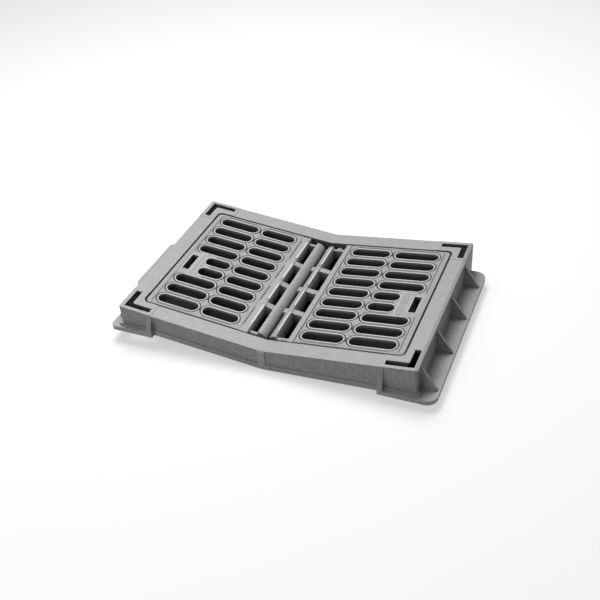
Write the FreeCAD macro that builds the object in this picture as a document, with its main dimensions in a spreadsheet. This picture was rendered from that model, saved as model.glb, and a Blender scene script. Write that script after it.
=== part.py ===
# Storm drain grate: a dished frame with two hinged leaves, all of them iron castings.
# Millimetres. X runs along the gutter, Y from the road to the kerb, Z up.
# The origin is below the middle of the grate, at the lowest edge of the frame.

import FreeCAD, Part
import Sketcher
import math
import os

doc = FreeCAD.newDocument("StormDrainGrate")
sheet = doc.addObject("Spreadsheet::Sheet", "Dims")


class Size:
    """A length with the sheet expression that it comes from."""

    def __init__(self, value, text):
        self.value = float(value)
        self.text = text

    def joined(self, sign, other, value):
        return Size(value, "(%s %s %s)" % (self.text, sign, sized(other).text))

    def __add__(self, other):
        return self.joined("+", other, self.value + sized(other).value)

    def __sub__(self, other):
        return self.joined("-", other, self.value - sized(other).value)

    def __mul__(self, other):
        return self.joined("*", other, self.value * sized(other).value)

    def __truediv__(self, other):
        return self.joined("/", other, self.value / sized(other).value)

    def __rsub__(self, other):
        return sized(other) - self

    def __neg__(self):
        return Size(-self.value, "(-%s)" % self.text)


def sized(number):
    return number if isinstance(number, Size) else Size(number, "(%.12g)" % number)


def root(size):
    return Size(math.sqrt(size.value), "sqrt(%s)" % size.text)


sizeCount = 0


def dim(alias, value, note):
    """Puts one driving dimension in the sheet and returns it."""
    global sizeCount
    sizeCount += 1
    sheet.set("A%d" % sizeCount, alias)
    sheet.set("B%d" % sizeCount, "%g" % value)
    sheet.setAlias("B%d" % sizeCount, alias)
    sheet.set("C%d" % sizeCount, note)
    return Size(value, "Dims.%s" % alias)


# The frame
frameLength = dim("frameLength", 800, "walls, outside, along X")
frameWidth = dim("frameWidth", 540, "walls, outside, along Y")
dishHeight = dim("dishHeight", 58, "rim over the lowest edge, in the middle")
dishRise = dim("dishRise", 46, "rise of the rim from the middle to an end")
wideLevel = dim("wideLevel", 18, "underside of the wide flange over the lowest edge")
narrowLevel = dim("narrowLevel", 33, "underside of the narrow flange and the tongue")
ribStation = dim("ribStation", 305, "middle to the corner ribs, where the bottom edge levels out")
wallThickness = dim("wallThickness", 8, "outer and inner walls")
rimThickness = dim("rimThickness", 9, "rim plate")
rimLength = dim("rimLength", 46, "rim of the short sides")
rimWidth = dim("rimWidth", 46, "rim of the long sides")
padLength = dim("padLength", 93, "corner pad along X")
padWidth = dim("padWidth", 84, "corner pad along Y")
padRaise = dim("padRaise", 1, "corner pads over the rims")
recessRadius = dim("recessRadius", 14, "corners of the leaf recess")
wallRadius = dim("wallRadius", 4, "upright outer corners")
seatWidth = dim("seatWidth", 13, "ledge under the leaves' edges")
seatThickness = dim("seatThickness", 12, "ledge plate")
webThickness = dim("webThickness", 8, "cross webs under the rims")

# Slots through the corner pads
cornerSlotEdgeX = dim("cornerSlotEdgeX", 11, "end of the frame to a corner slot")
cornerSlotEdgeY = dim("cornerSlotEdgeY", 9.5, "side of the frame to a corner slot")
cornerSlotWidth = dim("cornerSlotWidth", 16, "width of a corner slot")
cornerSlotLong = dim("cornerSlotLong", 72, "corner slot along X")
cornerSlotShort = dim("cornerSlotShort", 65, "corner slot along Y")
cornerSlotRadius = dim("cornerSlotRadius", 5, "inner corner of a corner slot")

# Flanges, feet and ribs outside the walls
flangeThickness = dim("flangeThickness", 12, "base flanges")
flangeReach = dim("flangeReach", 47, "wide flange")
flangeRadius = dim("flangeRadius", 28, "corners of the wide flange")
flangeSetback = dim("flangeSetback", 22, "end of the flanges to the kerb side")
toeReach = dim("toeReach", 15, "flanges in front of the road side")
narrowReach = dim("narrowReach", 30, "narrow flange")
narrowRadius = dim("narrowRadius", 14, "corners of the narrow flange")
tongueReach = dim("tongueReach", 61, "tongue, from the wall")
tongueLength = dim("tongueLength", 204, "tongue along Y")
tongueRadius = dim("tongueRadius", 12, "corners of the tongue")
toeStepHeight = dim("toeStepHeight", 6, "step along the foot of a corner")
toeStepReach = dim("toeStepReach", 6, "step in front of the wall")
ribWidth = dim("ribWidth", 13, "corner ribs")
ribTopDrop = dim("ribTopDrop", 2, "corner ribs under the rim")
ribShoulder = dim("ribShoulder", 13, "upright part of a corner rib over the flange")
gussetThickness = dim("gussetThickness", 7, "gussets on the flanges")
gussetMargin = dim("gussetMargin", 5, "foot of a gusset to the edge of its flange")
gussetDrop = dim("gussetDrop", 9, "top of a gusset under the rim")
gussetStart = dim("gussetStart", 30, "first gusset from the road side")
gussetPitch = dim("gussetPitch", 139, "gusset to gusset")
gussetCount = 4
footHeight = dim("footHeight", 15, "band along the bottom of the road side")
footReach = dim("footReach", 2.5, "band in front of the wall")
pilasterWidth = dim("pilasterWidth", 20, "upright strip in the middle of the road side")

# The leaves, laid flat, from the middle line of the grate outwards
leafGap = dim("leafGap", 3.5, "leaf's edge to the recess wall")
leafSink = dim("leafSink", 1, "leaf's top under the rim")
leafRim = dim("leafRim", 15, "thickness of a leaf's edge")
leafDepth = dim("leafDepth", 36, "depth of the bars")
leafRadius = dim("leafRadius", 12, "outer corners of a leaf")
seatClearance = dim("seatClearance", 0.3, "leaf over its ledge")
sideClearance = dim("sideClearance", 2, "leaf beside the ledge")
barWidth = dim("barWidth", 15.3, "iron between two rows of slots")
slotMargin = dim("slotMargin", 3.8, "outermost slots to the side of the bars")
rowCount = 9
frontRows = 3
kerbRows = 4
liftHoleStart = dim("liftHoleStart", 314, "middle to the lifting hole")
liftHoleWidth = dim("liftHoleWidth", 19, "lifting hole along X")
liftHoleLength = dim("liftHoleLength", 66, "lifting hole along Y")
grooveWidth = dim("grooveWidth", 3, "grooves")
grooveDepth = dim("grooveDepth", 2.5, "grooves")
grooveAfterRib = dim("grooveAfterRib", 9, "middle of a rib to the groove behind it")
grooveBeforeRib = dim("grooveBeforeRib", 27, "groove to the middle of the next rib")
grooveEnd = dim("grooveEnd", 11, "outer grooves to the side of the bars")
crossRibWidth = dim("crossRibWidth", 17, "ribs from the plate to the nose bar")
endBayExtra = dim("endBayExtra", 15, "how much longer the openings at the sides are")
crossRibCount = 3
endWebThickness = dim("endWebThickness", 9, "webs that carry the trunnions")
endWebTop = dim("endWebTop", 9, "those webs under the plate")
hingeDepth = dim("hingeDepth", 20, "hinge under a leaf's top, and radius of the barrel")
trunnionRadius = dim("trunnionRadius", 9, "trunnions")
trunnionGap = dim("trunnionGap", 2, "end of a trunnion to the recess wall")
hingeClearance = dim("hingeClearance", 0.3, "trunnion in its cradle")
cradleWidth = dim("cradleWidth", 26, "cradle block")
cradleFloor = dim("cradleFloor", 9, "iron under a cradle")
noseRadius = dim("noseRadius", 33, "rounded flank of the right nose bar, about its hinge")
noseShoulder = dim("noseShoulder", 6.5, "middle to the flat top of that bar")
noseFlankTop = dim("noseFlankTop", 5, "start of the round flank under that top")
stubTop = dim("stubTop", 3, "stubs in the middle gap, under the plate")
stubClearance = dim("stubClearance", 0.6, "stubs to the barrel")


class LeafPattern:
    """The sizes in which one leaf's casting differs from the other's."""

    def __init__(self, name, side, **sizes):
        self.name = name
        self.side = side
        for key, (value, note) in sizes.items():
            setattr(self, key, dim(name + key[0].upper() + key[1:], value, note))


leftPattern = LeafPattern(
    "left", -1,
    hingeOffset=(31, "middle to the hinge, along the leaf"),
    noseEdge=(35.5, "middle to the outer side of the barrel"),
    bandStart=(60.4, "middle to the inner edge of the slotted plate"),
    grooveStart=(79.5, "middle to the grooves"),
    innerStart=(100.5, "middle to the inner slots"),
    innerLength=(99.3, "inner slots"),
    outerStart=(215.2, "middle to the outer slots"),
    outerLength=(113.8, "outer slots"),
    shortLength=(71.5, "outer slots beside the lifting hole"),
    ribNoseTop=(8, "ribs under the plate, at the barrel"),
    ribBandTop=(2, "ribs under the plate, at the plate"))
rightPattern = LeafPattern(
    "right", 1,
    hingeOffset=(26, "middle to the hinge, along the leaf"),
    noseEdge=(14.5, "middle to the outer side of the nose bar"),
    bandStart=(51.4, "middle to the inner edge of the slotted plate"),
    grooveStart=(66, "middle to the grooves"),
    innerStart=(79.8, "middle to the inner slots"),
    innerLength=(109.2, "inner slots"),
    outerStart=(205.7, "middle to the outer slots"),
    outerLength=(120.4, "outer slots"),
    shortLength=(70.2, "outer slots beside the lifting hole"),
    ribNoseTop=(3, "ribs under the plate, at the nose bar"),
    ribBandTop=(13, "ribs under the plate, at the plate"))
doc.recompute()

# Shared places
halfLength = frameLength / 2
halfWidth = frameWidth / 2
slope = dishRise / halfLength
slant = root(slope * slope + 1)          # length along a leaf for each millimetre along X
recessHalfLength = halfLength - rimLength
recessHalfWidth = halfWidth - rimWidth
clearHalfLength = recessHalfLength - seatWidth
clearHalfWidth = recessHalfWidth - seatWidth
leafTop = dishHeight - leafSink          # a leaf's top plane on the middle line
seatDepth = (leafRim + seatClearance) * slant + leafSink
coreSide = clearHalfWidth - sideClearance          # side of the bars, in the clear way
slotWidth = (coreSide * 2 - slotMargin * 2 - barWidth * (rowCount - 1)) / rowCount
slotPitch = slotWidth + barWidth
crossRibPitch = (coreSide * 2 - endBayExtra * 2) / (crossRibCount + 1)
farBelow = -20
farAbove = 160


def axisOf(body, role):
    for feature in body.Origin.OriginFeatures:
        if feature.Role == role:
            return feature


def newSketch(body, name, plane, offset):
    """A sketch parallel to an origin plane, at an offset along its normal."""
    sketch = body.newObject("Sketcher::SketchObject", name)
    sketch.AttachmentSupport = [(axisOf(body, plane), "")]
    sketch.MapMode = "FlatFace"
    sketch.setExpression("AttachmentOffset.Base.z", sized(offset).text)
    return sketch


def pinPoint(sketch, geometry, end, point):
    """Holds one point of a sketch at a place from the sheet."""
    for kind, size in (("DistanceX", point[0]), ("DistanceY", point[1])):
        size = sized(size)
        index = sketch.addConstraint(Sketcher.Constraint(kind, -1, 1, geometry, end, size.value))
        sketch.setExpression("Constraints[%d]" % index, size.text)


def addPolygon(sketch, points):
    """A closed outline of straight lines through places from the sheet."""
    flat = [FreeCAD.Vector(sized(x).value, sized(y).value, 0) for x, y in points]
    first = sketch.GeometryCount
    count = len(points)
    for index in range(count):
        sketch.addGeometry(Part.LineSegment(flat[index], flat[(index + 1) % count]))
    for index in range(count):
        sketch.addConstraint(Sketcher.Constraint(
            "Coincident", first + index, 2, first + (index + 1) % count, 1))
        pinPoint(sketch, first + index, 1, points[index])


def addRectangle(sketch, left, right, bottom, top):
    addPolygon(sketch, [(left, bottom), (right, bottom), (right, top), (left, top)])


def addCircle(sketch, centre, radius):
    place = FreeCAD.Vector(centre[0].value, centre[1].value, 0)
    index = sketch.addGeometry(Part.Circle(place, FreeCAD.Vector(0, 0, 1), radius.value))
    pinPoint(sketch, index, 3, centre)
    hold = sketch.addConstraint(Sketcher.Constraint("Radius", index, radius.value))
    sketch.setExpression("Constraints[%d]" % hold, radius.text)


def addStadium(sketch, left, right, middle, width):
    """A slot outline with half-round ends."""
    radius = width / 2
    normal = FreeCAD.Vector(0, 0, 1)
    centres = [(left + radius, middle), (right - radius, middle)]
    places = [FreeCAD.Vector(sized(x).value, sized(y).value, 0) for x, y in centres]
    up = FreeCAD.Vector(0, radius.value, 0)
    quarter = math.pi / 2
    leftArc = sketch.addGeometry(Part.ArcOfCircle(
        Part.Circle(places[0], normal, radius.value), quarter, 3 * quarter))
    rightArc = sketch.addGeometry(Part.ArcOfCircle(
        Part.Circle(places[1], normal, radius.value), -quarter, quarter))
    topLine = sketch.addGeometry(Part.LineSegment(places[0] + up, places[1] + up))
    lowLine = sketch.addGeometry(Part.LineSegment(places[1] - up, places[0] - up))
    for arc, end, line, start in ((leftArc, 1, topLine, 1), (rightArc, 2, topLine, 2),
                                  (rightArc, 1, lowLine, 1), (leftArc, 2, lowLine, 2)):
        sketch.addConstraint(Sketcher.Constraint("Tangent", arc, end, line, start))
    pinPoint(sketch, leftArc, 3, centres[0])
    pinPoint(sketch, rightArc, 3, centres[1])
    sketch.addConstraint(Sketcher.Constraint("Equal", leftArc, rightArc))
    hold = sketch.addConstraint(Sketcher.Constraint("Radius", leftArc, radius.value))
    sketch.setExpression("Constraints[%d]" % hold, radius.text)


def extrude(body, kind, sketch, length):
    """A pad or pocket, as far to each side of its sketch, that has to change the volume."""
    before = body.Shape.Volume if not body.Shape.isNull() else 0.0
    feature = body.newObject("PartDesign::" + kind, sketch.Name + kind)
    feature.Profile = sketch
    feature.SideType = "Symmetric"
    feature.Refine = False
    feature.setExpression("Length", sized(length).text)
    sketch.Visibility = False
    doc.recompute()
    change = body.Shape.Volume - before
    if (kind == "Pad") != (change > 0) or abs(change) < 1.0:
        raise RuntimeError("%s changed the volume by %.1f" % (feature.Name, change))
    return feature


def block(body, kind, name, plane, span, points):
    """A pad or pocket of a polygon between two offsets along a plane's normal."""
    low, high = sized(span[0]), sized(span[1])
    sketch = newSketch(body, name, plane, (low + high) / 2)
    addPolygon(sketch, points)
    return extrude(body, kind, sketch, high - low)


def alongY(body, kind, name, span, points):
    """The same, for a profile in XZ between two values of Y."""
    return block(body, kind, name, "XZ_Plane", (-sized(span[1]), -sized(span[0])), points)


def repeatAlongY(body, feature, pitch, count):
    """Copies of one feature towards the kerb side."""
    before = body.Shape.Volume
    pattern = body.newObject("PartDesign::LinearPattern", feature.Name + "Rows")
    pattern.Originals = [feature]
    pattern.Direction = (axisOf(body, "Y_Axis"), [""])
    pattern.Occurrences = count
    pattern.setExpression("Length", (pitch * (count - 1)).text)
    pattern.Refine = False
    body.Tip = pattern
    doc.recompute()
    if abs(body.Shape.Volume - before) < 1.0:
        raise RuntimeError("%s repeats nothing" % pattern.Name)
    return pattern


def mirrored(body, features, plane):
    """The same features on the other side of an origin plane."""
    before = body.Shape.Volume
    mirror = body.newObject("PartDesign::Mirrored", features[0].Name + "Mirror" + plane[0])
    mirror.Originals = features
    mirror.MirrorPlane = (axisOf(body, plane), [""])
    mirror.Refine = False
    body.Tip = mirror
    doc.recompute()
    if abs(body.Shape.Volume - before) < 1.0:
        raise RuntimeError("%s repeats nothing" % mirror.Name)
    return mirror


def roundUpright(body, name, radius, corners):
    """Rounds the upright edges that stand at the given places."""
    doc.recompute()
    chosen = []
    for number, edge in enumerate(body.Shape.Edges, 1):
        ends = [vertex.Point for vertex in edge.Vertexes]
        if len(ends) != 2 or (ends[0] - ends[1]).Length < 2.0:
            continue
        for x, y in corners:
            places = [abs(end.x - sized(x).value) + abs(end.y - sized(y).value) for end in ends]
            if max(places) < 0.01:
                chosen.append("Edge%d" % number)
    if not chosen:
        raise RuntimeError("%s finds no edge" % name)
    rounded = body.Tip
    fillet = body.newObject("PartDesign::Fillet", name)
    fillet.Base = (rounded, chosen)
    fillet.setExpression("Radius", radius.text)
    body.Tip = fillet
    doc.recompute()
    return fillet


def cleanFaces(body):
    """Joins the faces that the features of a body have split."""
    body.Tip.Refine = True
    doc.recompute()


def fourCorners(x, y):
    return [(x, y), (-x, y), (-x, -y), (x, -y)]


def dishLine(x, drop):
    """Height of the dished rim at a distance from the middle, less a drop."""
    return dishHeight + slope * x - drop


def dishPolygon(halfSpan, drop, otherSide):
    """The dished line across the middle, closed by a level line above or below it."""
    return [(-halfSpan, dishLine(halfSpan, drop)), (0, dishLine(0, drop)),
            (halfSpan, dishLine(halfSpan, drop)), (halfSpan, otherSide), (-halfSpan, otherSide)]


def makeFrame():
    body = doc.addObject("PartDesign::Body", "Frame")
    body.Label = "frame"
    up = -padRaise
    alongY(body, "Pad", "FrameBlock", (-halfWidth, halfWidth), [
        (-halfLength, narrowLevel), (-ribStation, narrowLevel), (0, 0),
        (ribStation, wideLevel), (halfLength, wideLevel), (halfLength, dishLine(halfLength, up)),
        (0, dishLine(0, up)), (-halfLength, dishLine(halfLength, up))])
    roundUpright(body, "WallCorners", wallRadius, fourCorners(halfLength, halfWidth))

    # The rims lie under the corner pads by a thin step
    padInner = halfLength - padLength
    alongY(body, "Pocket", "LongRims", (-frameWidth, frameWidth), dishPolygon(padInner, 0, farAbove))
    padSide = halfWidth - padWidth
    alongY(body, "Pocket", "ShortRims", (-padSide, padSide), dishPolygon(frameLength, 0, farAbove))

    # The recess for the leaves, its ledge and the clear way down
    alongY(body, "Pocket", "LeafRecess", (-recessHalfWidth, recessHalfWidth),
           dishPolygon(recessHalfLength, seatDepth, farAbove))
    roundUpright(body, "RecessCorners", recessRadius,
                 fourCorners(recessHalfLength, recessHalfWidth))
    alongY(body, "Pocket", "ClearWay", (-clearHalfWidth, clearHalfWidth), [
        (-clearHalfLength, farBelow), (clearHalfLength, farBelow),
        (clearHalfLength, farAbove), (-clearHalfLength, farAbove)])

    # Open underside: below the ledge, then the channels below the rims
    innerWallX = recessHalfLength + wallThickness
    innerWallY = recessHalfWidth + wallThickness
    alongY(body, "Pocket", "UnderLedge", (-innerWallY, innerWallY),
           dishPolygon(innerWallX, seatDepth + seatThickness, farBelow))
    channelEndX = halfLength - wallThickness
    channelEndY = halfWidth - wallThickness
    halfWeb = webThickness / 2
    ribWebStart = ribStation + ribWidth / 2 - halfWeb
    ribWebEnd = ribStation + ribWidth / 2 + halfWeb
    channels = []
    for name, start, end in (("MiddleChannel", halfWeb, ribWebStart),
                             ("CornerChannel", ribWebEnd, channelEndX)):
        channels.append(alongY(body, "Pocket", name, (innerWallY, channelEndY), [
            (start, farBelow), (end, farBelow), (end, dishLine(end, rimThickness)),
            (start, dishLine(start, rimThickness))]))
        mirrored(body, [channels[-1]], "YZ_Plane")
        mirrored(body, [channels[-1]], "XZ_Plane")
        alongY(body, "Pocket", name + "Far", (-channelEndY, -innerWallY), [
            (-start, farBelow), (-start, dishLine(start, rimThickness)),
            (-end, dishLine(end, rimThickness)), (-end, farBelow)])
    side = alongY(body, "Pocket", "EndChannel", (-innerWallY, innerWallY), [
        (innerWallX, farBelow), (channelEndX, farBelow),
        (channelEndX, dishLine(channelEndX, rimThickness)),
        (innerWallX, dishLine(innerWallX, rimThickness))])
    mirrored(body, [side], "YZ_Plane")

    # No ledge beside the hinges, where cradles stand instead
    roomLeft = -leftPattern.bandStart / slant - sideClearance
    roomRight = rightPattern.bandStart / slant + sideClearance
    alongY(body, "Pocket", "HingeRoom", (-recessHalfWidth, recessHalfWidth), [
        (roomLeft, farBelow), (roomRight, farBelow), (roomRight, farAbove), (roomLeft, farAbove)])
    cradleRadius = trunnionRadius + hingeClearance
    seats = []
    for pattern in (leftPattern, rightPattern):
        x, z = hingePlace(pattern)
        low = z - cradleRadius - cradleFloor
        cradle = alongY(body, "Pad", pattern.name + "Cradle", (clearHalfWidth, innerWallY), [
            (x - cradleWidth / 2, low), (x + cradleWidth / 2, low),
            (x + cradleWidth / 2, z), (x - cradleWidth / 2, z)])
        mirrored(body, [cradle], "XZ_Plane")
        seats.append((x, z))
    seatSketch = newSketch(body, "CradleSeats", "XZ_Plane", 0)
    for seat in seats:
        addCircle(seatSketch, seat, cradleRadius)
    extrude(body, "Pocket", seatSketch, recessHalfWidth * 2)

    # Slots through the corner pads, for the mortar of the bedding
    slotFarX = halfLength - cornerSlotEdgeX
    slotFarY = halfWidth - cornerSlotEdgeY
    slots = newSketch(body, "CornerSlots", "XY_Plane", farAbove)
    for signX in (-1, 1):
        for signY in (-1, 1):
            addPolygon(slots, [
                (slotFarX * signX, slotFarY * signY),
                ((slotFarX - cornerSlotLong) * signX, slotFarY * signY),
                ((slotFarX - cornerSlotLong) * signX, (slotFarY - cornerSlotWidth) * signY),
                ((slotFarX - cornerSlotWidth) * signX, (slotFarY - cornerSlotWidth) * signY),
                ((slotFarX - cornerSlotWidth) * signX, (slotFarY - cornerSlotShort) * signY),
                (slotFarX * signX, (slotFarY - cornerSlotShort) * signY)])
    slotFloor = dishLine(slotFarX - cornerSlotLong, rimThickness * 2)
    extrude(body, "Pocket", slots, (farAbove - slotFloor) * 2)
    roundUpright(body, "CornerSlotBends", cornerSlotRadius,
                 fourCorners(slotFarX - cornerSlotWidth, slotFarY - cornerSlotWidth))

    addFlanges(body)
    cleanFaces(body)
    return body


def addFlanges(body):
    """The flanges, toes, ribs, gussets and foot band outside the walls."""
    inset = wallThickness
    wideEnd = halfLength + flangeReach
    narrowEnd = -halfLength - narrowReach
    tongueEnd = -halfLength - tongueReach
    frontEdge = -halfWidth - toeReach
    kerbEnd = halfWidth - flangeSetback
    halfTongue = tongueLength / 2
    wideSpan = (wideLevel, wideLevel + flangeThickness)
    narrowSpan = (narrowLevel, narrowLevel + flangeThickness)
    block(body, "Pad", "WideFlange", "XY_Plane", wideSpan, [
        (ribStation, frontEdge), (wideEnd, frontEdge), (wideEnd, kerbEnd),
        (halfLength - inset, kerbEnd), (halfLength - inset, -halfWidth + inset),
        (ribStation, -halfWidth + inset)])
    roundUpright(body, "WideFlangeCorners", flangeRadius,
                 [(wideEnd, frontEdge), (wideEnd, kerbEnd)])
    block(body, "Pad", "NarrowFlange", "XY_Plane", narrowSpan, [
        (-ribStation, frontEdge), (-ribStation, -halfWidth + inset),
        (-halfLength + inset, -halfWidth + inset), (-halfLength + inset, kerbEnd),
        (narrowEnd, kerbEnd), (narrowEnd, frontEdge)])
    roundUpright(body, "NarrowFlangeCorners", narrowRadius,
                 [(narrowEnd, frontEdge), (narrowEnd, kerbEnd)])
    block(body, "Pad", "Tongue", "XY_Plane", narrowSpan, [
        (tongueEnd, -halfTongue), (-halfLength + inset, -halfTongue),
        (-halfLength + inset, halfTongue), (tongueEnd, halfTongue)])
    roundUpright(body, "TongueCorners", tongueRadius,
                 [(tongueEnd, -halfTongue), (tongueEnd, halfTongue)])

    stepEnd = halfLength + toeStepReach
    ribTop = dishLine(ribStation, ribTopDrop)
    gussetTop = dishLine(halfLength, gussetDrop)
    gussetY = -halfWidth + gussetStart
    halfGusset = gussetThickness / 2
    for name, side, span, reach in (("Wide", 1, wideSpan, flangeReach),
                                    ("Narrow", -1, narrowSpan, narrowReach)):
        low, top = span
        # A low step runs along the foot of the road-side corner
        block(body, "Pad", name + "Step", "XY_Plane", (top, top + toeStepHeight), [
            (ribStation * side, -halfWidth - toeStepReach),
            (stepEnd * side, -halfWidth - toeStepReach),
            (stepEnd * side, -halfWidth + inset), (ribStation * side, -halfWidth + inset)])

        # The corner rib is upright below and sloped back to the rim above
        ribSpan = sorted((ribStation * side, (ribStation + ribWidth) * side), key=lambda x: x.value)
        block(body, "Pad", name + "Rib", "YZ_Plane", ribSpan, [
            (frontEdge, low), (-halfWidth + inset, low), (-halfWidth + inset, ribTop),
            (-halfWidth, ribTop), (frontEdge, top + ribShoulder)])

        # Gussets stand on the flange
        inner = (halfLength - inset / 2) * side
        outer = (halfLength + reach - gussetMargin) * side
        gusset = alongY(body, "Pad", name + "Gusset", (gussetY - halfGusset, gussetY + halfGusset), [
            (inner, top - 1), (outer, top - 1), (outer, top + 1),
            (halfLength * side, gussetTop), (inner, gussetTop)])
        repeatAlongY(body, gusset, gussetPitch, gussetCount)

    # The foot band and the strip above it
    alongY(body, "Pad", "FootBand", (-halfWidth - footReach, -halfWidth + inset / 2), [
        (-ribStation, narrowLevel), (0, 0), (ribStation, wideLevel),
        (ribStation, wideLevel + footHeight), (0, footHeight),
        (-ribStation, narrowLevel + footHeight)])
    halfStrip = pilasterWidth / 2
    alongY(body, "Pad", "Pilaster", (-halfWidth - footReach, -halfWidth + inset / 2), [
        (-halfStrip, footHeight), (halfStrip, footHeight),
        (halfStrip, dishLine(0, ribTopDrop)), (-halfStrip, dishLine(0, ribTopDrop))])


def hingePlace(pattern):
    """A leaf's hinge in X and Z, from its place on the sloping leaf."""
    return ((pattern.hingeOffset + hingeDepth * slope) / slant * pattern.side,
            leafTop + (pattern.hingeOffset * slope - hingeDepth) / slant)


def addNose(body, name, pattern, radius, arcTop, shoulder, span):
    """A bar whose inner flank is rounded about the hinge, so that it turns in its own place.

    arcTop is the depth where the round flank ends above, shoulder the place along the leaf
    where the flat top starts, if it isn't there.
    """
    side = pattern.side
    rise = hingeDepth - arcTop
    along = (pattern.hingeOffset - root(radius * radius - rise * rise)) * side
    inner = (pattern.hingeOffset - radius) * side
    edge = pattern.noseEdge * side
    arcEnd = (along, -sized(arcTop))
    arcStart = (inner, -hingeDepth)
    corners = [arcStart, (inner, -leafDepth), (edge, -leafDepth)]
    if shoulder is None:
        corners += [(edge, -sized(arcTop)), arcEnd]
    else:
        corners += [(edge, sized(0)), (shoulder * side, sized(0)), arcEnd]
    places = [FreeCAD.Vector(sized(x).value, sized(z).value, 0) for x, z in corners]
    sketch = newSketch(body, name, "XZ_Plane", -(span[0] + span[1]) / 2)
    centre = FreeCAD.Vector(pattern.hingeOffset.value * side, -hingeDepth.value, 0)
    turn = math.asin(rise.value / radius.value)
    angles = (math.pi - turn, math.pi) if side > 0 else (0.0, turn)
    topEnd, lowEnd = (1, 2) if side > 0 else (2, 1)
    arc = sketch.addGeometry(Part.ArcOfCircle(
        Part.Circle(centre, FreeCAD.Vector(0, 0, 1), radius.value), *angles))
    pinPoint(sketch, arc, 3, (pattern.hingeOffset * side, -hingeDepth))
    hold = sketch.addConstraint(Sketcher.Constraint("Radius", arc, radius.value))
    sketch.setExpression("Constraints[%d]" % hold, radius.text)
    lines = [sketch.addGeometry(Part.LineSegment(*pair)) for pair in zip(places, places[1:])]
    sketch.addConstraint(Sketcher.Constraint("Coincident", arc, lowEnd, lines[0], 1))
    for first, second, corner in zip(lines, lines[1:], corners[1:]):
        sketch.addConstraint(Sketcher.Constraint("Coincident", first, 2, second, 1))
        pinPoint(sketch, second, 1, corner)
    sketch.addConstraint(Sketcher.Constraint("Coincident", lines[-1], 2, arc, topEnd))
    for kind, end, size in (("DistanceY", lowEnd, arcStart[1]), ("DistanceX", topEnd, along)):
        hold = sketch.addConstraint(Sketcher.Constraint(kind, -1, 1, arc, end, size.value))
        sketch.setExpression("Constraints[%d]" % hold, size.text)
    return extrude(body, "Pad", sketch, span[1] - span[0])


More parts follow.
